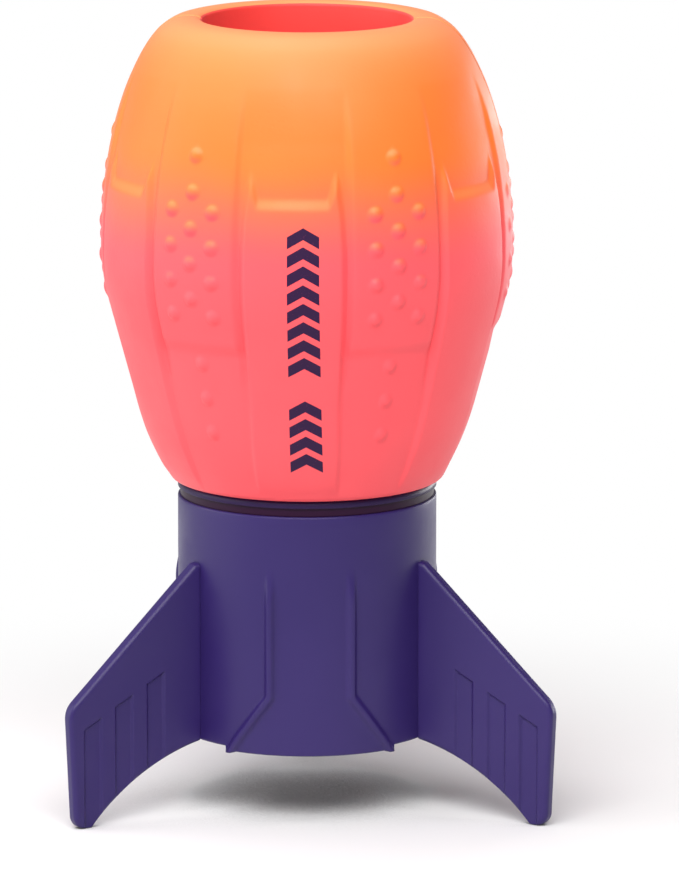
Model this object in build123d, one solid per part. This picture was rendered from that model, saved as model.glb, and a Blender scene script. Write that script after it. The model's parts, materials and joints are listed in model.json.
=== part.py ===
from build123d import *
import math
import os

# A hollow foam throwing football on a finned plastic tail. It stands on its fin tips with the nose up.
# Lengths are in mm and angles in degrees. +Z runs up the axis of the bore, towards the nose.
# The origin is on that axis, at the rear rim of the tail tube. The front of the toy faces -Y, and angles
# round the axis are counted from the front towards +X.

# Heights above the rear rim of the tail tube
STAND_Z = -20.2                 # lowest point of the fins
SPIGOT_Z = 57.8                 # lower end of the core sleeve, inside the tail tube
TUBE_TOP_Z = 69.8               # front rim of the tail tube
COLLAR_Z = 72.3                 # underside of the collar
FOAM_BOTTOM_Z = 74.5            # top of the collar, where the foam starts
SLEEVE_TOP_Z = 124.5            # upper end of the core sleeve, inside the foam
WIDEST_Z = 143.0                # height of the foam's greatest diameter
NOSE_Z = 208.3                  # crest of the nose rim

# Foam body
BODY_RADIUS = 59.1
BORE_RADIUS = 30.0
CREST_RADIUS = 33.0             # radius of the circle along the top of the nose rim
LIP_DROP = 0.8                  # how far the bore's edge lies below the crest
WAIST_ARC_RADIUS = 60.0         # arc between the widest point and the cone below it
CONE_ANGLE = 15.3
CONE_BOTTOM_Z = 98.0
HEEL_ARC_RADIUS = 90.0          # arc below the cone, which draws the body in towards the tail
HEEL_ANGLE = 30.0               # slope at the lower end of that arc
FOAM_CORNER_RADIUS = 2.6

# Core sleeve
SLEEVE_RADIUS = 32.4
SPIGOT_RADIUS = 35.3
GROOVE_RADIUS = 36.6
COLLAR_RADIUS = 37.3
COLLAR_ROUND = 1.4
FLANGE_HEIGHTS = (92.0, 112.0)
FLANGE_RADIUS = 39.0
FLANGE_THICKNESS = 2.0
KEY_HOLE_COUNT = 8
KEY_HOLE_RADIUS = 2.0
KEY_CIRCLE_RADIUS = 35.6

# Tail tube
TUBE_RADIUS = 37.3
TAIL_BORE_RADIUS = 34.5
TUBE_EDGE_ROUND = 0.5

# Raised ribs on the tail tube: they fade in, run straight down, then slant out to the rear rim
SECTOR_ANGLES = (0, 120, 240)
RIB_ANGLE = 18.2
RIB_FOOT_ANGLE = 38.0
RIB_TOP_Z = 53.5
RIB_FADE_Z = 46.0
RIB_BEND_Z = 17.0
RIB_FOOT_Z = 0.6
RIB_WIDTH = 2.9
RIB_HEIGHT = 1.0
RIB_FADED_HEIGHT = 0.05
RIB_SINK = 0.5                  # how far a rib's base is let into the tube wall
RIB_SLANT_STEPS = 5

# Fins
FIN_ANGLES = {"fin_left": -60.0, "fin_right": 60.0, "fin_rear": 180.0}
FIN_THICKNESS = 4.2
FIN_EDGE_ROUND = 1.3
FIN_ROOT_RADIUS = TUBE_RADIUS - 2       # the outline starts inside the tube wall and is cut back to it
FIN_ROOT_TOP = (39.0, 52.8)             # radius and height of the top of the leading edge
FIN_ROOT_TOP_Z = 53.6
FIN_SHOULDER = (80.5, 14.8)             # where the leading edge meets the outer edge
FIN_SHOULDER_ROUND = 6.5
FIN_TIP_OUTSIDE = (78.8, STAND_Z)
FIN_TIP_OUTSIDE_ROUND = 3.8
FIN_TIP_INSIDE = (73.2, STAND_Z)
FIN_TIP_INSIDE_ROUND = 1.4
FIN_TRAIL_MIDDLE = (57.6, -7.2)         # a point on the arc of the trailing edge
FIN_ROOT_BOTTOM_Z = 1.3

# Flutes: shallow sunk bars with slanting sides on both faces of each fin, open at the trailing edge
FLUTE_RADII = (52.1, 62.6, 72.9)
FLUTE_TOPS_Z = (20.7, 15.2, 9.7)
FLUTE_WIDTH = 4.7                       # across the floor of a flute
FLUTE_SIDE_ANGLE = 45.0
FLUTE_TOP_FALL = 2.4                    # how far the slanting top drops across a flute
FLUTE_DEPTH = 0.7


def on_circle(radius, angle):
    """X and Y of a point at an angle from the front."""
    return radius * math.sin(math.radians(angle)), -radius * math.cos(math.radians(angle))


def ring(outer_radius, inner_radius, bottom_z, top_z):
    """A plain ring round the Z axis."""
    lift = Pos(0, 0, (bottom_z + top_z) / 2)
    height = top_z - bottom_z
    return lift * Cylinder(outer_radius, height) - lift * Cylinder(inner_radius, height)


def foam_profile():
    """Half section of the foam body: heel, cone, waist arc, elliptical nose and rolled rim."""
    cone = math.radians(CONE_ANGLE)
    heel = math.radians(HEEL_ANGLE)
    cone_top_z = WIDEST_Z - WAIST_ARC_RADIUS * math.sin(cone)
    cone_top_radius = BODY_RADIUS - WAIST_ARC_RADIUS * (1 - math.cos(cone))
    cone_bottom_radius = cone_top_radius - (cone_top_z - CONE_BOTTOM_Z) * math.tan(cone)
    heel_z = CONE_BOTTOM_Z - HEEL_ARC_RADIUS * (math.sin(heel) - math.sin(cone))
    heel_radius = cone_bottom_radius - HEEL_ARC_RADIUS * (math.cos(cone) - math.cos(heel))
    bottom_radius = heel_radius - (heel_z - FOAM_BOTTOM_Z) * math.tan(heel)
    lip_z = NOSE_Z - LIP_DROP
    with BuildSketch() as profile:
        with BuildLine():
            Polyline(
                (BORE_RADIUS, lip_z),
                (BORE_RADIUS, FOAM_BOTTOM_Z),
                (bottom_radius, FOAM_BOTTOM_Z),
                (heel_radius, heel_z),
            )
            TangentArc(
                (heel_radius, heel_z),
                (cone_bottom_radius, CONE_BOTTOM_Z),
                tangent=(math.sin(heel), math.cos(heel)),
            )
            Line((cone_bottom_radius, CONE_BOTTOM_Z), (cone_top_radius, cone_top_z))
            TangentArc(
                (cone_top_radius, cone_top_z),
                (BODY_RADIUS, WIDEST_Z),
                tangent=(math.sin(cone), math.cos(cone)),
            )
            EllipticalCenterArc(
                (CREST_RADIUS, WIDEST_Z),
                BODY_RADIUS - CREST_RADIUS,
                NOSE_Z - WIDEST_Z,
                start_angle=0,
                arc_size=90,
            )
            ThreePointArc(
                (CREST_RADIUS, NOSE_Z),
                ((CREST_RADIUS + BORE_RADIUS) / 2, NOSE_Z - LIP_DROP / 4),
                (BORE_RADIUS, lip_z),
            )
        make_face()
        corner = profile.vertices().sort_by_distance((bottom_radius, FOAM_BOTTOM_Z))[0]
        fillet(corner, FOAM_CORNER_RADIUS)
    return Plane.XZ * profile.sketch


def make_core_sleeve():
    """Hard sleeve: spigot in the tail tube, groove, collar, and a keyed length inside the foam."""
    collar = ring(COLLAR_RADIUS, BORE_RADIUS, COLLAR_Z, FOAM_BOTTOM_Z)
    collar_rim = collar.edges().group_by(Axis.Z)[-1].sort_by(SortBy.RADIUS)[-1]
    sleeve = ring(SPIGOT_RADIUS, BORE_RADIUS, SPIGOT_Z, TUBE_TOP_Z)
    sleeve += ring(GROOVE_RADIUS, BORE_RADIUS, TUBE_TOP_Z, COLLAR_Z)
    sleeve += fillet(collar_rim, COLLAR_ROUND)
    sleeve += ring(SLEEVE_RADIUS, BORE_RADIUS, FOAM_BOTTOM_Z, SLEEVE_TOP_Z)
    for flange_z in FLANGE_HEIGHTS:
        sleeve += ring(FLANGE_RADIUS, BORE_RADIUS, flange_z, flange_z + FLANGE_THICKNESS)
        for index in range(KEY_HOLE_COUNT):
            x, y = on_circle(KEY_CIRCLE_RADIUS, index * 360 / KEY_HOLE_COUNT)
            hole = Cylinder(KEY_HOLE_RADIUS, FLANGE_THICKNESS)
            sleeve -= Pos(x, y, flange_z + FLANGE_THICKNESS / 2) * hole
    return sleeve


def make_foam_body(sleeve):
    """The foam, moulded round the sleeve and through the holes in its flanges."""
    return revolve(foam_profile(), Axis.Z) - sleeve


def rib_section(angle, height_z, rib_height):
    """Triangular section of a rib on the tube wall, seen along the tube."""
    half_angle = math.degrees(RIB_WIDTH / 2 / TUBE_RADIUS)
    corners = [
        on_circle(TUBE_RADIUS - RIB_SINK, angle - half_angle),
        on_circle(TUBE_RADIUS + rib_height, angle),
        on_circle(TUBE_RADIUS - RIB_SINK, angle + half_angle),
    ]
    return Pos(0, 0, height_z) * make_face(Polyline(*corners, close=True))


def make_rib(sector, side):
    """One rib, as lofts between its sections from the rear rim to the faded top."""
    straight = sector + side * RIB_ANGLE
    foot = sector + side * RIB_FOOT_ANGLE
    sections = []
    for step in range(RIB_SLANT_STEPS + 1):
        part_way = step / RIB_SLANT_STEPS
        angle = foot + (straight - foot) * part_way
        height_z = RIB_FOOT_Z + (RIB_BEND_Z - RIB_FOOT_Z) * part_way
        sections.append(rib_section(angle, height_z, RIB_HEIGHT))
    sections.append(rib_section(straight, RIB_FADE_Z, RIB_HEIGHT))
    sections.append(rib_section(straight, RIB_TOP_Z, RIB_FADED_HEIGHT))
    return loft(sections, ruled=True)


def make_tail_tube():
    """Tail tube with a socket for the sleeve's spigot and a pair of ribs between each two fins."""
    wall = ring(TUBE_RADIUS, TAIL_BORE_RADIUS, 0, SPIGOT_Z)
    wall += ring(TUBE_RADIUS, SPIGOT_RADIUS, SPIGOT_Z, TUBE_TOP_Z)
    rim_groups = wall.edges().filter_by(GeomType.CIRCLE).group_by(Axis.Z)
    outer_rims = [rim_groups[end].sort_by(SortBy.RADIUS)[-1] for end in (0, -1)]
    wall = fillet(outer_rims, TUBE_EDGE_ROUND)
    for sector in SECTOR_ANGLES:
        for side in (-1, 1):
            wall += make_rib(sector, side)
    return wall


def fin_outline():
    """Outline of a fin in the XZ plane, where X is the distance from the bore axis."""
    with BuildSketch() as outline:
        with BuildLine():
            Polyline(
                (FIN_ROOT_RADIUS, FIN_ROOT_BOTTOM_Z),
                (FIN_ROOT_RADIUS, FIN_ROOT_TOP_Z),
                FIN_ROOT_TOP,
                FIN_SHOULDER,
                FIN_TIP_OUTSIDE,
                FIN_TIP_INSIDE,
            )
            ThreePointArc(FIN_TIP_INSIDE, FIN_TRAIL_MIDDLE, (FIN_ROOT_RADIUS, FIN_ROOT_BOTTOM_Z))
        make_face()
        rounds = (
            (FIN_SHOULDER, FIN_SHOULDER_ROUND),
            (FIN_TIP_OUTSIDE, FIN_TIP_OUTSIDE_ROUND),
            (FIN_TIP_INSIDE, FIN_TIP_INSIDE_ROUND),
        )
        for place, corner_round in rounds:
            corner = outline.vertices().sort_by_distance(place)[0]
            fillet(corner, corner_round)
    return Plane.XZ * outline.sketch


def flute_cutter(radius, top_z, side):
    """A bar that cuts one flute into one face of a fin, down past the trailing edge.

    The bar widens from the floor of the flute outwards. Its plane looks out of the fin's face, so the
    plane's second axis points down on one side of the fin and up on the other.
    """
    inner = radius - FLUTE_WIDTH / 2
    outer = radius + FLUTE_WIDTH / 2
    corners = [
        (inner, -side * 2 * STAND_Z),
        (inner, -side * (top_z + FLUTE_TOP_FALL / 2)),
        (outer, -side * (top_z - FLUTE_TOP_FALL / 2)),
        (outer, -side * 2 * STAND_Z),
    ]
    floor_y = side * (FIN_THICKNESS / 2 - FLUTE_DEPTH)
    floor_plane = Plane(origin=(0, floor_y, 0), x_dir=(1, 0, 0), z_dir=(0, side, 0))
    with BuildPart() as bar:
        with BuildSketch(floor_plane):
            with BuildLine():
                Polyline(*corners, close=True)
            make_face()
        extrude(amount=2 * FLUTE_DEPTH, taper=-FLUTE_SIDE_ANGLE)
    return bar.part


def make_fin(angle):
    """One swept fin with rounded edges and three flutes on each face, its root fitted to the tube."""
    plate = extrude(fin_outline(), FIN_THICKNESS / 2, both=True)
    face_edges = plate.edges().filter_by(Axis.Y, reverse=True)
    root_edges = face_edges.filter_by_position(Axis.X, FIN_ROOT_RADIUS, FIN_ROOT_RADIUS)
    plate = fillet([edge for edge in face_edges if edge not in root_edges], FIN_EDGE_ROUND)
    for radius, top_z in zip(FLUTE_RADII, FLUTE_TOPS_Z):
        for side in (-1, 1):
            plate -= flute_cutter(radius, top_z, side)
    plate -= Cylinder(TUBE_RADIUS, 3 * FIN_ROOT_TOP_Z)
    plus_x_angle = 90
    return Rot(0, 0, angle - plus_x_angle) * plate


def write_part(name, shape):
    """Write one node and print what it holds."""
    solids = shape.solids()
    export_step(solids[0], "parts/" + name + ".step")
    print(name, "solids", len(solids), "volume", round(shape.volume))


os.makedirs("parts", exist_ok=True)
core_sleeve = make_core_sleeve()
write_part("core_sleeve", core_sleeve)
write_part("foam_body", make_foam_body(core_sleeve))
write_part("tail_tube", make_tail_tube())
for fin_name, fin_angle in FIN_ANGLES.items():
    write_part(fin_name, make_fin(fin_angle))
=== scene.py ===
import bpy
import json
import math
import numpy as np
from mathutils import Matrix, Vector


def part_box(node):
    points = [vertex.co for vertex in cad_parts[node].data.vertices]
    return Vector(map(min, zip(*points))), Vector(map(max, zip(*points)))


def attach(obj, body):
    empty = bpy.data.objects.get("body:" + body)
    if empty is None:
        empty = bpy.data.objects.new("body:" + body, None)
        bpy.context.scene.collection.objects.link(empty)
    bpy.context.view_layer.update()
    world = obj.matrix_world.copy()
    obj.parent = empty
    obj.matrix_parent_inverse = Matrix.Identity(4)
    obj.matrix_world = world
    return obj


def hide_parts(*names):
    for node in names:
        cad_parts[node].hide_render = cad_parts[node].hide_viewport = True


# A hollow foam throwing football on a finned plastic tail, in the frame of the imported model:
# +Z runs up the bore axis, the origin is at the rear rim of the tail tube, and the front faces -Y.
# Angles round the axis are in degrees, counted from the front towards +X. Mesh points are worked
# out in millimetres, and become metres in mesh_object(). Materials, lights and the camera are in
# metres unless a name says otherwise.

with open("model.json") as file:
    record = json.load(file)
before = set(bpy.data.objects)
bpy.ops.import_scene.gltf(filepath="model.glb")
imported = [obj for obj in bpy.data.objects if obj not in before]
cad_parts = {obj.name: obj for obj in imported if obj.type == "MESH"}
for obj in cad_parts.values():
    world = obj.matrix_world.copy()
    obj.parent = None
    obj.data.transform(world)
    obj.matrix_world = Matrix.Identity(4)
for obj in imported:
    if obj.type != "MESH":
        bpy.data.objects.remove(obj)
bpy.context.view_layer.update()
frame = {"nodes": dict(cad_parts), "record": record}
MM = 0.001
BODY = "root"

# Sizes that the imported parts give, in millimetres
foam_low, foam_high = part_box("foam_body")
tube_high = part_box("tail_tube")[1]
sleeve_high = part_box("core_sleeve")[1]
fin_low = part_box("fin_rear")[0]
mounts = {mount["name"]: mount["dims"] for mount in frame["record"]["mounts"]}
BORE_RADIUS = mounts["nose_bore"]["r_mm"]
TAIL_BORE_RADIUS = mounts["tail_bore"]["r_mm"]
SOCKET_Z = mounts["tail_bore"]["length_mm"]
FOAM_BOTTOM_Z = foam_low.z / MM
NOSE_Z = foam_high.z / MM
BODY_RADIUS = foam_high.x / MM
SLEEVE_TOP_Z = sleeve_high.z / MM
FLANGE_RADIUS = sleeve_high.x / MM
FLOOR_Z = fin_low.z / MM
TUBE_RADIUS = tube_high.y / MM
TUBE_TOP_Z = tube_high.z / MM

# Foam section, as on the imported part
WIDEST_Z = 143.0
CREST_RADIUS = 33.0
LIP_DROP = 0.8
WAIST_ARC_RADIUS = 60.0
CONE_ANGLE = 15.3
CONE_BOTTOM_Z = 98.0
HEEL_ARC_RADIUS = 90.0
HEEL_ANGLE = 30.0
FOAM_CORNER_RADIUS = 2.6
SLEEVE_RADIUS = 32.4
FLANGES = ((92.0, 94.0), (112.0, 114.0))
COLLAR_Z = 72.3                 # underside of the sleeve's collar, over the groove
HIDDEN_GAP = 0.1                # clearance between the foam's inside and the sleeve

# Rows of the foam's mesh: the height where each run of rows ends, and their spacing
SIDE_ROW_STEPS = ((91.0, 1.2), (127.0, 0.72), (178.0, 0.56), (196.0, 1.1))
NOSE_ROW_TURN = 2.1             # degrees between rows round the nose

FOOT_ROWS = 4                   # rows under the foam, which have no relief
RIM_BAND = 2.0                  # how far the parting line is carried down inside the nose's rim

# Columns of its mesh: the angle from a smooth panel's middle where each run ends, and the spacing
COLUMN_STEPS = ((8.4, 2.1), (9.6, 0.6), (13.6, 0.42), (17.6, 0.55), (21.0, 0.85), (30.0, 0.6))
SEAM_COLUMNS = (-1.1, -0.75, -0.5, -0.25, 0.0, 0.25, 0.5, 0.75, 1.1)

# Foam relief: six smooth panels and six dotted ones, in turn
PANEL_PERIOD = 60.0
FOAM_CLOCKING = -5.5            # how far the front smooth panel is turned from the tail's front
DOT_EDGE = 16.4                 # angle from a smooth panel's middle to the next dotted panel
EDGE_SOFTNESS = 2.2             # width in degrees of the slope at a panel's edge
# Curves: each knot is a height and the value there. SMOOTH_EDGE gives the angle from a smooth
# panel's middle to its edge, and the others how far the surface stands out from the plain section.
SMOOTH_EDGE = ((76, 16.0), (90, 15.2), (104, 14.3), (150, 14.3), (159, 13.9), (170, 12.7),
               (178, 11.4))
SHOULDER = ((193, -0.1), (196, 0.0), (199.2, 0.17), (204.2, 0.5), (207.2, 0.42), (208.1, 0.15),
            (208.3, 0.0))
GROUND_LEVEL = ((76, -0.1), (95, -0.3), (112, -0.4), (124, -1.05),
                (163, -1.1), (170, -1.0), (180, -0.95), (194, 0.0))
SMOOTH_LEVEL = ((76, 0.45), (90, 0.8), (122, 0.8), (150, 0.25), (166, 0.1))
DOT_LEVEL = ((118, 0.25), (135, 0.1), (178, 0.0))
RELIEF_START_Z = 75.5           # the relief grows from here up to RELIEF_FULL_Z
RELIEF_FULL_Z = 80.0
LEDGE_Z = 161.0                 # upper end of the raised smooth panels, at their middle
# Angle from the panel's middle, and how far the ledge has risen there, or how tall its slope is
LEDGE_CORNERS = ((10.3, 0.0), (12.9, 6.3))
LEDGE_CHAMFER = ((9.5, 4.2), (11.3, 7.5))
STEP_Z = 120.0                  # lower end of the raised dotted panels
STEP_SOFTNESS = 2.4
GROOVE_ANGLE = 15.3
GROOVE_HALF_WIDTH = 1.6
GROOVE_EXTRA = 0.45
GROOVE_BOTTOM = (107.0, 113.0)
GROOVE_TOP = (119.0, 124.0)
DOT_RADIUS = 2.2
DOT_HEIGHT = 1.1
DOT_ROUNDNESS = 0.95
DOT_CENTRE_ROW = (175.5, 165.3, 155.0, 145.0, 134.8)
DOT_SIDE_ROW = (160.0, 150.0, 140.0, 130.0)
DOT_SIDE_ANGLE = 6.7
# Height of each fainter dot's middle, and its part of the full dot height
DOT_LOWER_ROW = ((115.3, 0.9), (105.0, 0.85), (94.7, 0.8))
PARTING_ANGLES = (FOAM_CLOCKING - 90.0, FOAM_CLOCKING + 90.0)
PARTING_DEPTH = 0.6
PARTING_WIDTH = 0.38
PARTING_RIM_DEPTH = 1.3
PARTING_RIM_Z = (200.0, 206.5)  # where the line becomes coarser
PARTING_DOT_PART = 0.5          # height of dots beside the line, as a part of the full height
PARTING_DOT_ANGLES = (18.0, 26.0)
PARTING_DOT_Z = (117.0, 124.0)  # below this, a panel that the line crosses has no dots

# Tail tube
TUBE_EDGE_ROUND = 0.5
SECTOR_PERIOD = 120.0
FIN_PLANE = 60.0
RIB_ANGLE = 18.2
RIB_FOOT_ANGLE = 38.0
RIB_TOP_Z = 54.5
RIB_FADE_Z = 44.0
RIB_BEND_Z = 17.0
RIB_HALF_WIDTH = 1.75
RIB_TOP_HALF_WIDTH = 0.5
RIB_HEIGHT = 1.35
RIM_RISE = 1.3                  # how much higher the rim is between a rib's foot and the fin
RIM_STEP = (1.6, 2.8)           # degrees past the rib's foot where the rim steps up
RIM_NUB = 0.4                   # how far the rim comes down under a rib's foot
NUB_ANGLES = (1.2, 2.4)         # the nub is full up to the first and gone at the second
RIM_REACH_Z = 7.0               # up to here the wall is stretched to meet the stepped rim
SPIGOT_RADIUS = 35.3
# Rows and columns of its mesh, from the rear edge's round and from the middle of a sector
TUBE_ROW_STEPS = ((20.0, 0.6), (60.0, 1.6), (TUBE_TOP_Z - TUBE_EDGE_ROUND, 3.0))
TUBE_COLUMN_STEPS = ((14.0, 2.0), (43.0, 0.5), (60.0, 1.7))

# Printed mark: a column of chevrons on the front smooth panel
MARK_TOP_Z = 157.4
MARK_BOTTOM_Z = 84.1
MARK_HALF_WIDTH = 4.5
MARK_OFFSET = 3.0               # how far the mark lies to the right of the panel's middle
CHEVRON_STROKE = 3.3
CHEVRON_RISE = 2.6              # how far the middle of a chevron is above its ends
CHEVRON_PITCH = 5.35
UPPER_CHEVRONS = 8
LOWER_CHEVRONS = 4
TOP_ROOM = 3.5                  # from the mark's ends to the middle of the nearest chevron
BOTTOM_ROOM = 3.2
INK_LEVELS = (0.07, -0.12)      # the ink's outer and hidden inner face, from the foam's surface


def ramp(value, start, end):
    """0 at start and 1 at end, with a smooth change between them."""
    part = np.clip((value - start) / (end - start), 0.0, 1.0)
    return part * part * (3.0 - 2.0 * part)


def curve(value, knots):
    """Value of a curve that is given by its knots."""
    places, levels = zip(*knots)
    return np.interp(value, places, levels)


def spaced(start, end, step):
    """Evenly spaced numbers from start up to end, which is left out."""
    count = max(1, round(abs(end - start) / step))
    return [start + (end - start) * index / count for index in range(count)]


def runs(start, steps):
    """Spaced numbers in several runs, each given by its end and its spacing."""
    numbers = []
    for end, step in steps:
        numbers += spaced(start, end, step)
        start = end
    return numbers


def mesh_object(name, vertices, faces, material, sharp_angle=40.0):
    """A smooth-shaded mesh object from points in millimetres."""
    mesh = bpy.data.meshes.new(name)
    mesh.from_pydata((np.asarray(vertices) * MM).tolist(), [], faces)
    mesh.validate()
    mesh.polygons.foreach_set("use_smooth", [True] * len(mesh.polygons))
    mesh.set_sharp_from_angle(angle=math.radians(sharp_angle))
    mesh.materials.append(material)
    mesh.update()
    made = bpy.data.objects.new(name, mesh)
    bpy.context.collection.objects.link(made)
    return made


def turned_grid(radius, height, angles):
    """Points of a turned surface, with a row for each profile point and a column for each angle."""
    turn = np.radians(angles)[None, :]
    x = radius * np.sin(turn)
    y = -radius * np.cos(turn)
    z = np.broadcast_to(height, x.shape)
    return np.stack([x, y, z], axis=-1).reshape(-1, 3)


def ring_faces(rows, columns):
    """Faces of a grid that closes on itself both ways."""
    row, column = np.meshgrid(np.arange(rows), np.arange(columns), indexing="ij")
    next_row = (row + 1) % rows
    next_column = (column + 1) % columns
    corners = [row * columns + column, row * columns + next_column]
    corners += [next_row * columns + next_column, next_row * columns + column]
    return np.stack([corner.ravel() for corner in corners], axis=1).tolist()


def merge_angles(angles, least_gap=0.12):
    """Sorted column angles, without any that nearly repeat their neighbour."""
    kept = []
    for angle in sorted(angles):
        if not kept or angle - kept[-1] >= least_gap:
            kept.append(angle)
    return np.array(kept)


# ---- Foam body ----

def foam_radius(z):
    """Radius of the foam's outside at a height, with no relief."""
    z = np.asarray(z, dtype=float)
    cone = math.radians(CONE_ANGLE)
    heel = math.radians(HEEL_ANGLE)
    waist_centre = BODY_RADIUS - WAIST_ARC_RADIUS
    cone_top_z = WIDEST_Z - WAIST_ARC_RADIUS * math.sin(cone)
    cone_bottom_radius = (waist_centre + WAIST_ARC_RADIUS * math.cos(cone)
                          - (cone_top_z - CONE_BOTTOM_Z) * math.tan(cone))
    heel_centre_radius = cone_bottom_radius - HEEL_ARC_RADIUS * math.cos(cone)
    heel_centre_z = CONE_BOTTOM_Z + HEEL_ARC_RADIUS * math.sin(cone)
    heel_z = heel_centre_z - HEEL_ARC_RADIUS * math.sin(heel)
    heel_radius = heel_centre_radius + HEEL_ARC_RADIUS * math.cos(heel)
    nose_part = np.clip((z - WIDEST_Z) / (NOSE_Z - WIDEST_Z), 0.0, 1.0)
    nose = CREST_RADIUS + (BODY_RADIUS - CREST_RADIUS) * np.sqrt(1.0 - nose_part ** 2)
    waist = waist_centre + np.sqrt(WAIST_ARC_RADIUS ** 2 - np.clip(WIDEST_Z - z, 0.0, 50.0) ** 2)
    cone_side = cone_bottom_radius + (z - CONE_BOTTOM_Z) * math.tan(cone)
    heel_drop = np.clip(heel_centre_z - z, 0.0, 60.0)
    heel_side = heel_centre_radius + np.sqrt(HEEL_ARC_RADIUS ** 2 - heel_drop ** 2)
    foot = heel_radius + (z - heel_z) * math.tan(heel)
    places = [z >= WIDEST_Z, z >= cone_top_z, z >= CONE_BOTTOM_Z, z >= heel_z]
    return np.select(places, [nose, waist, cone_side, heel_side], foot)


def foam_rows():
    """Closed section of the foam: foot, outside, rolled rim, bore and the hollow for the sleeve."""
    heel = math.radians(HEEL_ANGLE)
    corner_z = FOAM_BOTTOM_Z + FOAM_CORNER_RADIUS
    corner_radius = float(foam_radius(corner_z)) - FOAM_CORNER_RADIUS / math.cos(heel)
    inner = SLEEVE_RADIUS + HIDDEN_GAP
    rows = [(radius, FOAM_BOTTOM_Z) for radius in spaced(inner, corner_radius, 1.5)]
    for turn in spaced(-90.0, -HEEL_ANGLE, 10.0):
        rows.append((corner_radius + FOAM_CORNER_RADIUS * math.cos(math.radians(turn)),
                     corner_z + FOAM_CORNER_RADIUS * math.sin(math.radians(turn))))
    side_start = corner_z - FOAM_CORNER_RADIUS * math.sin(heel)
    rows += [(float(foam_radius(z)), z) for z in runs(side_start, SIDE_ROW_STEPS)]
    nose_height = NOSE_Z - WIDEST_Z
    nose_width = BODY_RADIUS - CREST_RADIUS
    start_turn = math.degrees(math.asin((SIDE_ROW_STEPS[-1][0] - WIDEST_Z) / nose_height))
    for turn in spaced(start_turn, 90.0, NOSE_ROW_TURN):
        rows.append((CREST_RADIUS + nose_width * math.cos(math.radians(turn)),
                     WIDEST_Z + nose_height * math.sin(math.radians(turn))))
    for radius in spaced(CREST_RADIUS, BORE_RADIUS + 0.4, 0.5):
        part = (CREST_RADIUS - radius) / (CREST_RADIUS - BORE_RADIUS)
        rows.append((radius, NOSE_Z - LIP_DROP * part ** 2))
    lip_z = NOSE_Z - LIP_DROP
    rows += [(BORE_RADIUS + 0.2, lip_z - 0.05), (BORE_RADIUS + 0.05, lip_z - 0.25)]
    rows += [(BORE_RADIUS, z) for z in spaced(lip_z - 0.6, SLEEVE_TOP_Z + HIDDEN_GAP, 6.0)]
    rows += [(BORE_RADIUS, SLEEVE_TOP_Z + HIDDEN_GAP), (inner, SLEEVE_TOP_Z + HIDDEN_GAP)]
    for low, high in reversed(FLANGES):
        outer = FLANGE_RADIUS + HIDDEN_GAP
        rows += [(inner, high + HIDDEN_GAP), (outer, high + HIDDEN_GAP)]
        rows += [(outer, low - HIDDEN_GAP), (inner, low - HIDDEN_GAP)]
    return np.array(rows)


def foam_angles():
    """Column angles: close together at the dots, the panel edges and the parting line."""
    half = runs(0.0, COLUMN_STEPS)
    angles = []
    for panel in np.arange(-180.0, 180.0, PANEL_PERIOD):
        angles += [panel + FOAM_CLOCKING + angle for angle in half]
        angles += [panel + FOAM_CLOCKING + PANEL_PERIOD - angle for angle in half if angle > 0.0]
        angles.append(panel + FOAM_CLOCKING + PANEL_PERIOD / 2)
    for place in PARTING_ANGLES:
        angles += [place + offset for offset in SEAM_COLUMNS]
    return merge_angles(angles)


def foam_dots(from_dot_centre, z):
    """Height of the raised dots, at an angle from the middle of a dotted panel."""
    dots = [(0.0, place, DOT_HEIGHT) for place in DOT_CENTRE_ROW]
    dots += [(side * DOT_SIDE_ANGLE, place, DOT_HEIGHT)
             for place in DOT_SIDE_ROW for side in (-1, 1)]
    dots += [(0.0, place, DOT_HEIGHT * part) for place, part in DOT_LOWER_ROW]
    height = np.zeros(np.broadcast(from_dot_centre, z).shape)
    for angle, place, rise in dots:
        across = np.radians(from_dot_centre - angle) * foam_radius(place)
        distance = (across ** 2 + (z - place) ** 2) / DOT_RADIUS ** 2
        height += rise * np.clip(1.0 - distance, 0.0, 1.0) ** DOT_ROUNDNESS
    return height


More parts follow.
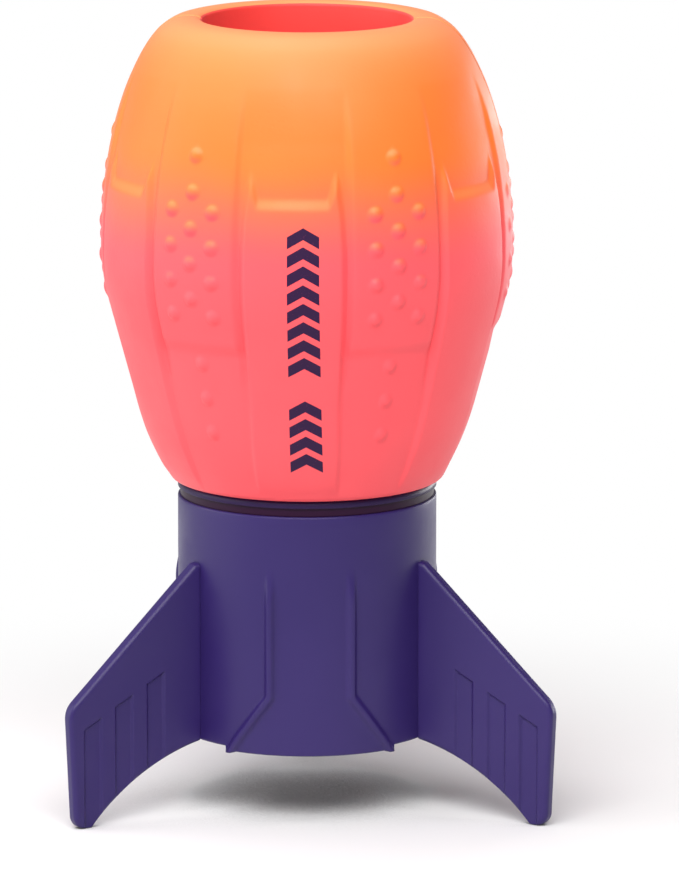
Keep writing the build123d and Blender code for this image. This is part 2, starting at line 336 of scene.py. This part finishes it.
def foam_relief(angle, z):
    """How far the moulded foam stands out from its plain section."""
    turn = (angle - FOAM_CLOCKING + PANEL_PERIOD / 2) % PANEL_PERIOD - PANEL_PERIOD / 2
    from_smooth = np.abs(turn)
    from_dot_centre = (angle - FOAM_CLOCKING) % PANEL_PERIOD - PANEL_PERIOD / 2
    ground = curve(z, GROUND_LEVEL)
    edge = curve(z, SMOOTH_EDGE)
    ledge_z = LEDGE_Z + curve(from_smooth, LEDGE_CORNERS)
    smooth_part = ramp(from_smooth, edge + EDGE_SOFTNESS / 2, edge - EDGE_SOFTNESS / 2)
    smooth_part = smooth_part * ramp(z, ledge_z + curve(from_smooth, LEDGE_CHAMFER), ledge_z)
    dot_part = ramp(from_smooth, DOT_EDGE - EDGE_SOFTNESS / 2, DOT_EDGE + EDGE_SOFTNESS / 2)
    dot_part = dot_part * ramp(z, STEP_Z - STEP_SOFTNESS, STEP_Z + STEP_SOFTNESS)
    relief = ground + (curve(z, SMOOTH_LEVEL) - ground) * smooth_part
    relief = relief + (curve(z, DOT_LEVEL) - ground) * dot_part
    from_groove = (from_smooth - GROOVE_ANGLE) / GROOVE_HALF_WIDTH
    beside_groove = np.clip(1.0 - from_groove ** 2, 0.0, 1.0)
    lower_groove = ramp(z, *GROOVE_BOTTOM) * ramp(z, GROOVE_TOP[1], GROOVE_TOP[0])
    relief = relief - GROOVE_EXTRA * beside_groove * lower_groove
    from_parting = np.abs(np.abs(angle - FOAM_CLOCKING) - 90.0)
    beside_parting = ramp(from_parting, *PARTING_DOT_ANGLES)
    least_dot = PARTING_DOT_PART * ramp(z, *PARTING_DOT_Z)
    dot_scale = least_dot + (1.0 - least_dot) * beside_parting
    return relief + curve(z, SHOULDER) + dot_scale * foam_dots(from_dot_centre, z)


def parting_groove(angle, radius, z):
    """Depth of the fine line that the halves of the mould leave, which is coarser over the rim."""
    at_rim = ramp(z, *PARTING_RIM_Z)
    deepest = PARTING_DEPTH + (PARTING_RIM_DEPTH - PARTING_DEPTH) * at_rim
    depth = np.zeros(np.broadcast(angle, radius).shape)
    for place in PARTING_ANGLES:
        across = np.radians((angle - place + 180.0) % 360.0 - 180.0) * radius
        width = PARTING_WIDTH * (1.0 + 0.5 * at_rim)
        depth += deepest * np.exp(-(across / width) ** 2)
    return depth


def make_foam(material):
    """The foam as one closed skin, with its relief moved out along the section's normal."""
    rows = foam_rows()
    angles = foam_angles()
    along = np.roll(rows, -1, axis=0) - np.roll(rows, 1, axis=0)
    along /= np.linalg.norm(along, axis=1, keepdims=True)
    radius = rows[:, 0:1]
    z = rows[:, 1:2]
    order = np.arange(len(rows))
    outside = (order >= FOOT_ROWS) & (order <= np.argmax(rows[:, 1]))
    rim = (rows[:, 0] > BORE_RADIUS + 0.1) & (rows[:, 1] > NOSE_Z - RIM_BAND)
    moulded = foam_relief(angles[None, :], z) * ramp(z, RELIEF_START_Z, RELIEF_FULL_Z)
    seam = parting_groove(angles[None, :], radius, z)
    relief = np.where(outside[:, None], moulded, 0.0)
    relief -= np.where((outside | rim)[:, None], seam, 0.0)
    grid = turned_grid(radius + along[:, 1:2] * relief, z - along[:, 0:1] * relief, angles)
    foam = mesh_object("foam_skin", grid, ring_faces(len(rows), len(angles)), material)
    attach(foam, BODY)
    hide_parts("foam_body")


# ---- Materials ----

# Colours as 8-bit screen values
CORAL = ((250, 86, 94), (252, 92, 99))
ORANGE = ((246, 115, 40), (248, 122, 48))
PAINTED_NOSE_SHEEN = (251, 146, 92)    # painted highlight: paler orange where the paint faces up, for the sheen from the light above
BARE_FOAM = ((240, 70, 66), (246, 80, 74))
# painted shade along the parting lines
SEAM_SHADE = (150, 44, 40)
TAIL_PURPLE = ((43, 28, 90), (48, 33, 95))
SLEEVE_PURPLE = ((38, 20, 62), (44, 26, 72))
# painted shade in the sleeve's groove under its collar
GROOVE_SHADE_PURPLE = (38, 2, 38)
# paler tone along rounded edges, in patches
PALE_EDGE_PURPLE = (104, 92, 156)
INK = (42, 10, 56)
WORN_INK = (110, 40, 74)

# The spray from the nose, in metres: it ends between these heights, and reaches lower on a face
# that looks up
PAINT_GONE_Z = 0.144
PAINT_FULL_Z = 0.182
PAINT_FACING = 0.022
PAINT_DRIFT = 0.012
OUTSIDE_RADIUS = 0.0305         # everything nearer the axis is the bare bore
# painted shade along the parting lines: its widths, and how far it darkens the foam
SEAM_SHADE_WIDTHS = (0.0008, 0.0002)
SEAM_SHADE_PART = 0.6


def srgb(red, green, blue):
    """Linear colour from 8-bit screen values."""
    parts = [value / 255.0 for value in (red, green, blue)]
    linear = [part / 12.92 if part <= 0.04045 else ((part + 0.055) / 1.055) ** 2.4
              for part in parts]
    return (*linear, 1.0)


class Network:
    """A node material whose nodes are added and joined in one call each."""

    def __init__(self, name):
        self.material = bpy.data.materials.new(name)
        self.material.use_nodes = True
        self.nodes = self.material.node_tree.nodes
        self.links = self.material.node_tree.links
        self.shader = self.nodes["Principled BSDF"]
        self.place = self.add("ShaderNodeTexCoord").outputs["Object"]

    def add(self, kind, settings=None, **inputs):
        node = self.nodes.new(kind)
        for key, value in (settings or {}).items():
            setattr(node, key, value)
        for key, value in inputs.items():
            self.set(node, key.replace("_", " "), value)
        return node

    def set(self, node, key, value):
        """Set or join one input: by its name, or by its index where the key is i and a number."""
        numbered = key[0] == "i" and key[1:].isdigit()
        socket = node.inputs[int(key[1:]) if numbered else key]
        if isinstance(value, bpy.types.NodeSocket):
            self.links.new(value, socket)
        else:
            socket.default_value = value

    def math(self, operation, first, second=0.0):
        settings = {"operation": operation}
        return self.add("ShaderNodeMath", settings, i0=first, i1=second).outputs[0]

    def span(self, value, start, end, low=0.0, high=1.0):
        """A value carried smoothly from one range to another."""
        settings = {"interpolation_type": "SMOOTHSTEP"}
        inputs = {"From_Min": start, "From_Max": end, "To_Min": low, "To_Max": high}
        return self.add("ShaderNodeMapRange", settings, Value=value, **inputs).outputs["Result"]

    def noise(self, scale, detail=3.0, roughness=0.5):
        inputs = {"Vector": self.place, "Scale": scale, "Detail": detail, "Roughness": roughness}
        return self.add("ShaderNodeTexNoise", **inputs).outputs["Fac"]

    def mix(self, part, first, second):
        settings = {"data_type": "RGBA"}
        return self.add("ShaderNodeMix", settings, i0=part, i6=first, i7=second).outputs[2]

    def bump(self, height, distance, strength=1.0, normal=None):
        inputs = {"Height": height, "Distance": distance, "Strength": strength}
        if normal is not None:
            inputs["Normal"] = normal
        return self.add("ShaderNodeBump", **inputs).outputs["Normal"]

    def finish(self, **inputs):
        for key, value in inputs.items():
            self.set(self.shader, key.replace("_", " "), value)
        return self.material


def foam_material():
    """Soft moulded skin, sprayed from the nose: paint lies on the nose and on what faces it.
    Up-facing paint is paler, as a painted highlight, and the parting lines get painted shade.
    """
    net = Network("foam_skin_paint")
    geometry = net.add("ShaderNodeNewGeometry")
    facings = net.add("ShaderNodeSeparateXYZ", Vector=geometry.outputs["Normal"])
    normal_z = facings.outputs["Z"]
    parts = net.add("ShaderNodeSeparateXYZ", Vector=net.place)
    height = parts.outputs["Z"]
    drift = net.math("MULTIPLY", net.math("SUBTRACT", net.noise(18.0, 2.0), 0.5), PAINT_DRIFT)
    facing = net.math("MULTIPLY", normal_z, PAINT_FACING)
    reach = net.math("ADD", net.math("ADD", height, facing), drift)
    paint = net.span(reach, PAINT_GONE_Z, PAINT_FULL_Z)
    across = net.math("ADD", net.math("POWER", parts.outputs["X"], 2.0),
                      net.math("POWER", parts.outputs["Y"], 2.0))
    outside = net.math("GREATER_THAN", across, OUTSIDE_RADIUS ** 2)
    paint = net.math("MULTIPLY", paint, outside)
    mottle = net.span(net.noise(9.0, 4.0, 0.6), 0.3, 0.7)
    coral = net.mix(mottle, srgb(*CORAL[0]), srgb(*CORAL[1]))
    orange = net.mix(mottle, srgb(*ORANGE[0]), srgb(*ORANGE[1]))
    # Painted highlight: paint that faces up turns paler, standing in for the sheen from the light
    # above
    orange = net.mix(net.span(normal_z, 0.25, 0.95), orange, srgb(*PAINTED_NOSE_SHEEN))
    bare = net.mix(mottle, srgb(*BARE_FOAM[0]), srgb(*BARE_FOAM[1]))
    colour = net.mix(paint, coral, orange)
    # Painted shade: a dark line along both parting lines, standing in for the shadow in their
    # groove
    seam_angle = math.radians(PARTING_ANGLES[1])
    seam_side = (math.cos(seam_angle), math.sin(seam_angle), 0.0)
    from_seam = net.add("ShaderNodeVectorMath", {"operation": "DOT_PRODUCT"}, i0=net.place,
                        i1=seam_side).outputs["Value"]
    seam = net.span(net.math("ABSOLUTE", from_seam), *SEAM_SHADE_WIDTHS, 0.0, SEAM_SHADE_PART)
    colour = net.mix(seam, colour, srgb(*SEAM_SHADE))
    colour = net.mix(outside, bare, colour)
    orange_peel = net.noise(900.0, 2.0, 0.5)
    pores = net.add("ShaderNodeTexVoronoi", {"feature": "F1"}, Vector=net.place, Scale=420.0)
    pits = net.span(pores.outputs["Distance"], 0.0, 0.22)
    normal = net.bump(pits, 0.00005, 0.5, net.bump(orange_peel, 0.00008, 0.5))
    roughness = net.span(net.noise(60.0, 3.0), 0.3, 0.7, 0.46, 0.56)
    return net.finish(Base_Color=colour, Roughness=roughness, Normal=normal, IOR=1.38,
                      Sheen_Weight=0.05, Sheen_Roughness=0.4)


def plastic_material(name, shade, light, specular, groove=None):
    """Moulded plastic with a fine even grain, a little paler along its rounded edges, in patches.

    A groove's painted shade is given by its colour and the height where it ends: below that height
    the colour turns darker, standing in for the shadow under the foam's overhang.
    """
    net = Network(name)
    geometry = net.add("ShaderNodeNewGeometry")
    bevel = net.add("ShaderNodeBevel", {"samples": 4}, Radius=0.0006)
    rounded = net.add("ShaderNodeVectorMath", {"operation": "DOT_PRODUCT"}, i0=bevel.outputs[0],
                      i1=geometry.outputs["Normal"]).outputs["Value"]
    edge = net.span(rounded, 0.97, 0.80)
    edge_patches = net.span(net.noise(160.0, 4.0, 0.65), 0.35, 0.65)
    paler_edges = net.math("MULTIPLY", edge, edge_patches)
    mottle = net.span(net.noise(14.0, 3.0), 0.3, 0.7)
    colour = net.mix(mottle, shade, light)
    colour = net.mix(net.math("MULTIPLY", paler_edges, 0.25), colour, srgb(*PALE_EDGE_PURPLE))
    # Painted shade: below the groove's top the colour turns dark, for the shadow there
    if groove:
        groove_shade_colour, groove_top = groove
        height = net.add("ShaderNodeSeparateXYZ", Vector=net.place).outputs["Z"]
        in_groove = net.span(height, groove_top + 0.0003, groove_top - 0.0002)
        colour = net.mix(in_groove, colour, groove_shade_colour)
    grain = net.noise(2600.0, 2.0, 0.5)
    ripple = net.noise(35.0, 2.0, 0.5)
    normal = net.bump(ripple, 0.0002, 0.25, net.bump(grain, 0.00003, 0.5, bevel.outputs[0]))
    roughness = net.span(net.noise(90.0, 4.0, 0.6), 0.3, 0.7, 0.36, 0.46)
    return net.finish(Base_Color=colour, Roughness=roughness, Normal=normal,
                      Specular_IOR_Level=specular)


def ink_material():
    """Flat pad-printed ink, a little broken where it lies on the foam's texture."""
    net = Network("printed_ink")
    speckle = net.span(net.noise(1500.0, 3.0, 0.7), 0.60, 0.72)
    colour = net.mix(net.math("MULTIPLY", speckle, 0.5), srgb(*INK), srgb(*WORN_INK))
    normal = net.bump(net.noise(900.0, 2.0), 0.00005, 0.5)
    return net.finish(Base_Color=colour, Roughness=0.5, Normal=normal, Specular_IOR_Level=0.25)


# ---- Tail tube ----

def rib_relief(angle, z):
    """Height of the ribs: they fade in at the top, run straight down, then slant out to the rim."""
    sector = (angle + SECTOR_PERIOD / 2) % SECTOR_PERIOD - SECTOR_PERIOD / 2
    across = np.radians(np.abs(sector)) * TUBE_RADIUS
    straight = math.radians(RIB_ANGLE) * TUBE_RADIUS
    foot = math.radians(RIB_FOOT_ANGLE) * TUBE_RADIUS
    run = foot - straight
    part = np.clip(((across - straight) * run + (RIB_BEND_Z - z) * RIB_BEND_Z)
                   / (run ** 2 + RIB_BEND_Z ** 2), 0.0, 1.0)
    slant = np.hypot(across - straight - part * run, RIB_BEND_Z - z - part * RIB_BEND_Z)
    upright = np.hypot(across - straight, np.clip(RIB_BEND_Z - z, 0.0, None))
    distance = np.minimum(slant, upright)
    crest = ramp(distance, RIB_HALF_WIDTH, RIB_TOP_HALF_WIDTH)
    return RIB_HEIGHT * crest * ramp(z, RIB_TOP_Z, RIB_FADE_Z)


def rim_height(angle):
    """Height of the rear rim: higher beside each fin, with a nub under each rib's foot."""
    sector = np.abs((angle + SECTOR_PERIOD / 2) % SECTOR_PERIOD - SECTOR_PERIOD / 2)
    beside_fin = ramp(sector, RIB_FOOT_ANGLE + RIM_STEP[0], RIB_FOOT_ANGLE + RIM_STEP[1])
    nub = ramp(np.abs(sector - RIB_FOOT_ANGLE), NUB_ANGLES[1], NUB_ANGLES[0])
    return RIM_RISE * beside_fin - RIM_NUB * nub


def make_tail_tube(material):
    """The tail tube as one closed skin, with its ribs and its stepped rear rim."""
    half = runs(0.0, TUBE_COLUMN_STEPS)
    angles = []
    for sector in (-120.0, 0.0, 120.0):
        angles += [sector + side * angle for angle in half for side in (-1, 1)]
    angles += [sector + FIN_PLANE for sector in (-120.0, 0.0, 120.0)]
    angles = merge_angles([(angle + 180.0) % 360.0 - 180.0 for angle in angles])
    wall_edge = TUBE_RADIUS - TUBE_EDGE_ROUND
    socket_wall = SPIGOT_RADIUS + HIDDEN_GAP
    shoulder_z = SOCKET_Z - HIDDEN_GAP
    rows = [(radius, 0.0) for radius in spaced(TAIL_BORE_RADIUS + 0.4, wall_edge, 0.8)]
    for turn in spaced(-90.0, 0.0, 22.5):
        rows.append((TUBE_RADIUS - TUBE_EDGE_ROUND * (1.0 - math.cos(math.radians(turn))),
                     TUBE_EDGE_ROUND * (1.0 + math.sin(math.radians(turn)))))
    rows += [(TUBE_RADIUS, z) for z in runs(TUBE_EDGE_ROUND, TUBE_ROW_STEPS)]
    for turn in spaced(0.0, 90.0, 18.0):
        rows.append((TUBE_RADIUS - TUBE_EDGE_ROUND * (1.0 - math.cos(math.radians(turn))),
                     TUBE_TOP_Z - TUBE_EDGE_ROUND * (1.0 - math.sin(math.radians(turn)))))
    rows += [(wall_edge, TUBE_TOP_Z), (socket_wall, TUBE_TOP_Z)]
    rows += [(socket_wall, z) for z in spaced(TUBE_TOP_Z - 1.0, shoulder_z, 4.0)]
    rows += [(socket_wall, shoulder_z), (TAIL_BORE_RADIUS, shoulder_z)]
    rows += [(TAIL_BORE_RADIUS, z) for z in spaced(SOCKET_Z - 1.0, 3.0, 5.0)]
    rows += [(TAIL_BORE_RADIUS, 1.5), (TAIL_BORE_RADIUS, 0.4)]
    rows = np.array(rows)
    radius = rows[:, 0:1]
    z = rows[:, 1:2]
    outside = radius > TUBE_RADIUS - TUBE_EDGE_ROUND / 2
    relief = np.where(outside, rib_relief(angles[None, :], z), 0.0)
    lifted = z + rim_height(angles[None, :]) * ramp(z, RIM_REACH_Z, 0.0)
    grid = turned_grid(radius + relief, lifted, angles)
    tube = mesh_object("tail_tube_wall", grid, ring_faces(len(rows), len(angles)), material)
    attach(tube, BODY)
    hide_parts("tail_tube")


# ---- Printed mark ----

def mark_point(column, z, lift):
    """A point of the mark, from -1 to 1 across it, at a height and a distance off the foam."""
    base = float(foam_radius(z))
    slope = float(foam_radius(z + 0.5)) - float(foam_radius(z - 0.5))
    across = MARK_OFFSET + column * MARK_HALF_WIDTH
    angle = FOAM_CLOCKING + math.degrees(across / base)
    relief = float(foam_relief(np.array([[angle]]), np.array([[z]]))[0, 0])
    out = base + relief * math.hypot(1.0, slope) + lift
    turn = math.radians(angle)
    return (out * math.sin(turn), -out * math.cos(turn), z)


def make_mark(material):
    """A column of plain chevrons that points to the nose, printed on the front smooth panel."""
    places = [MARK_TOP_Z - TOP_ROOM - CHEVRON_PITCH * index for index in range(UPPER_CHEVRONS)]
    places += [MARK_BOTTOM_Z + BOTTOM_ROOM + CHEVRON_PITCH * index
               for index in range(LOWER_CHEVRONS)]
    columns = np.linspace(-1.0, 1.0, 13)
    levels = np.linspace(-0.5, 0.5, 4)
    vertices = []
    faces = []
    for place in places:
        first = len(vertices)
        for lift in INK_LEVELS:
            for level in levels:
                for column in columns:
                    z = place + level * CHEVRON_STROKE + CHEVRON_RISE * (0.5 - abs(column))
                    vertices.append(mark_point(column, z, lift))
        wide = len(columns)
        layer = wide * len(levels)
        for row in range(len(levels) - 1):
            for column in range(wide - 1):
                corner = first + row * wide + column
                faces.append((corner, corner + 1, corner + wide + 1, corner + wide))
                under = corner + layer
                faces.append((under + wide, under + wide + 1, under + 1, under))
        border = list(range(wide - 1))
        border += [wide - 1 + wide * row for row in range(len(levels) - 1)]
        border += [layer - 1 - column for column in range(wide - 1)]
        border += [layer - wide - wide * row for row in range(len(levels) - 1)]
        for here, there in zip(border, border[1:] + border[:1]):
            faces.append((first + there, first + here, first + here + layer, first + there + layer))
    mark = mesh_object("printed_chevrons", vertices, faces, material, 60.0)
    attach(mark, BODY)


# ---- Stage, lights and camera ----

FLOOR_FADE = (0.05, 0.27)       # distances from the axis between which the floor turns plain white
FLOOR_TONES = ((0.82, 0.815, 0.82, 1.0), (0.84, 0.835, 0.835, 1.0))
FLOOR_SHADE = (0.10, 0.09, 0.09, 1.0)
SHADE_REACH = 0.11              # how near a surface over the floor must be to darken it
SHADE_OPENNESS = (0.50, 0.20)   # openness where the shade starts, and where it is full
FLOOR_RADII = (60.0, 120.0, 200.0, 400.0, 1000.0, 4000.0)
FLOOR_STEPS = 96

# Soft boxes: name, place, width, height and power in watts
SOFT_BOXES = (
    ("soft_box_left", (-1.20, -0.05, 0.50), 1.3, 1.0, 8.0),
    ("soft_box_right", (0.95, 1.00, 0.10), 0.9, 0.30, 7.5),
    ("soft_box_key", (-0.10, -0.98, 1.04), 1.6, 0.6, 22.5),
    ("soft_box_top", (-0.15, 0.05, 1.35), 1.1, 0.5, 6.0),
)
LIGHTS_AIM = (0.0, 0.0, 0.09)
WORLD_RIGHT = 0.14              # strength of the light from all round, on the right
WORLD_LEFT = 0.42

# Camera: distances and heights in millimetres
CAMERA_DISTANCE = 2288.3
CAMERA_Z = 535.6
CAMERA_AZIMUTH = -1.5
AIM_Z = 84.1
AIM_RIGHT = 9.33
LENS = 328.7


def make_floor():
    """Pale seamless floor that fades to plain white further out, and is clear from below."""
    net = Network("studio_floor")
    parts = net.add("ShaderNodeSeparateXYZ", Vector=net.place)
    away = net.math("SQRT", net.math("ADD", net.math("POWER", parts.outputs["X"], 2.0),
                                     net.math("POWER", parts.outputs["Y"], 2.0)))
    tone = net.span(net.noise(6.0, 3.0), 0.3, 0.7)
    colour = net.mix(tone, *FLOOR_TONES)
    cover = net.add("ShaderNodeAmbientOcclusion", {"samples": 8}, Distance=SHADE_REACH)
    openness = cover.outputs["AO"]
    colour = net.mix(net.span(openness, *SHADE_OPENNESS), colour, FLOOR_SHADE)
    grain = net.bump(net.noise(700.0, 3.0), 0.00003, 0.3)
    net.finish(Base_Color=colour, Roughness=0.75, Normal=grain)
    glow = net.add("ShaderNodeEmission", Color=(1.0, 1.0, 1.0, 1.0), Strength=1.0)
    fade = net.span(away, *FLOOR_FADE)
    both = net.add("ShaderNodeMixShader", i0=fade, i1=net.shader.outputs[0],
                   i2=glow.outputs[0])
    geometry = net.add("ShaderNodeNewGeometry")
    from_below = geometry.outputs["Backfacing"]
    clear = net.add("ShaderNodeBsdfTransparent")
    one_way = net.add("ShaderNodeMixShader", i0=from_below, i1=both.outputs[0],
                      i2=clear.outputs[0])
    output = net.nodes["Material Output"]
    net.links.new(one_way.outputs[0], output.inputs["Surface"])
    vertices = [(0.0, 0.0, FLOOR_Z)]
    faces = []
    for radius in FLOOR_RADII:
        for step in range(FLOOR_STEPS):
            turn = 2.0 * math.pi * step / FLOOR_STEPS
            vertices.append((radius * math.cos(turn), radius * math.sin(turn), FLOOR_Z))
    for step in range(FLOOR_STEPS):
        following = (step + 1) % FLOOR_STEPS
        faces.append((0, 1 + step, 1 + following))
        for ring in range(len(FLOOR_RADII) - 1):
            low = 1 + ring * FLOOR_STEPS
            high = low + FLOOR_STEPS
            faces.append((low + step, high + step, high + following, low + following))
    floor = mesh_object("floor", vertices, faces, net.material)


def soft_box(name, place, width, height, power):
    light = bpy.data.lights.new(name, "AREA")
    light.shape = "RECTANGLE"
    light.size = width
    light.size_y = height
    light.energy = power
    box = bpy.data.objects.new(name, light)
    box.location = place
    to_object = Vector(LIGHTS_AIM) - Vector(place)
    box.rotation_euler = to_object.to_track_quat("-Z", "Y").to_euler()
    bpy.context.collection.objects.link(box)


def make_world():
    """White backdrop, and a softer light from all round that is stronger from the left."""
    world = bpy.data.worlds.new("studio")
    bpy.context.scene.world = world
    world.use_nodes = True
    nodes = world.node_tree.nodes
    links = world.node_tree.links
    soft = nodes["Background"]
    soft.inputs["Color"].default_value = (1.0, 1.0, 1.0, 1.0)
    soft.inputs["Strength"].default_value = 1.0
    place = nodes.new("ShaderNodeTexCoord")
    sides = nodes.new("ShaderNodeSeparateXYZ")
    across = nodes.new("ShaderNodeMapRange")
    across.interpolation_type = "SMOOTHSTEP"
    ends = {"From Min": 0.7, "From Max": -0.9, "To Min": WORLD_RIGHT, "To Max": WORLD_LEFT}
    for key, value in ends.items():
        across.inputs[key].default_value = value
    links.new(place.outputs["Generated"], sides.inputs[0])
    links.new(sides.outputs["X"], across.inputs["Value"])
    links.new(across.outputs["Result"], soft.inputs["Strength"])
    white = nodes.new("ShaderNodeBackground")
    white.inputs["Strength"].default_value = 1.0
    path = nodes.new("ShaderNodeLightPath")
    both = nodes.new("ShaderNodeMixShader")
    links.new(path.outputs["Is Camera Ray"], both.inputs[0])
    links.new(soft.outputs[0], both.inputs[1])
    links.new(white.outputs[0], both.inputs[2])
    links.new(both.outputs[0], nodes["World Output"].inputs["Surface"])


def make_camera():
    turn = math.radians(CAMERA_AZIMUTH)
    place = Vector((CAMERA_DISTANCE * math.sin(turn),
                    -CAMERA_DISTANCE * math.cos(turn), CAMERA_Z)) * MM
    right = Vector((math.cos(turn), math.sin(turn), 0.0))
    aim = (right * AIM_RIGHT + Vector((0.0, 0.0, AIM_Z))) * MM
    data = bpy.data.cameras.new("camera")
    data.lens = LENS
    data.sensor_width = 36.0
    camera = bpy.data.objects.new("camera", data)
    camera.location = place
    camera.rotation_euler = (aim - place).to_track_quat("-Z", "Y").to_euler()
    bpy.context.collection.objects.link(camera)
    bpy.context.scene.camera = camera


bpy.context.scene.view_settings.view_transform = "Standard"
make_camera()
make_world()
for settings in SOFT_BOXES:
    soft_box(*settings)
make_floor()

foam_skin = foam_material()
tail_plastic = plastic_material("tail_plastic_grained", srgb(*TAIL_PURPLE[0]),
                                srgb(*TAIL_PURPLE[1]), 0.35)
# The sleeve's groove under its collar gets painted shade.
sleeve_plastic = plastic_material("sleeve_plastic_grained", srgb(*SLEEVE_PURPLE[0]),
                                  srgb(*SLEEVE_PURPLE[1]), 0.2,
                                  (srgb(*GROOVE_SHADE_PURPLE), COLLAR_Z * MM))
ink = ink_material()
make_foam(foam_skin)
make_tail_tube(tail_plastic)
make_mark(ink)

for node_name, material in (("core_sleeve", sleeve_plastic), ("fin_left", tail_plastic),
                            ("fin_right", tail_plastic), ("fin_rear", tail_plastic)):
    for slot_entry in frame["nodes"][node_name].material_slots:
        slot_entry.material = material
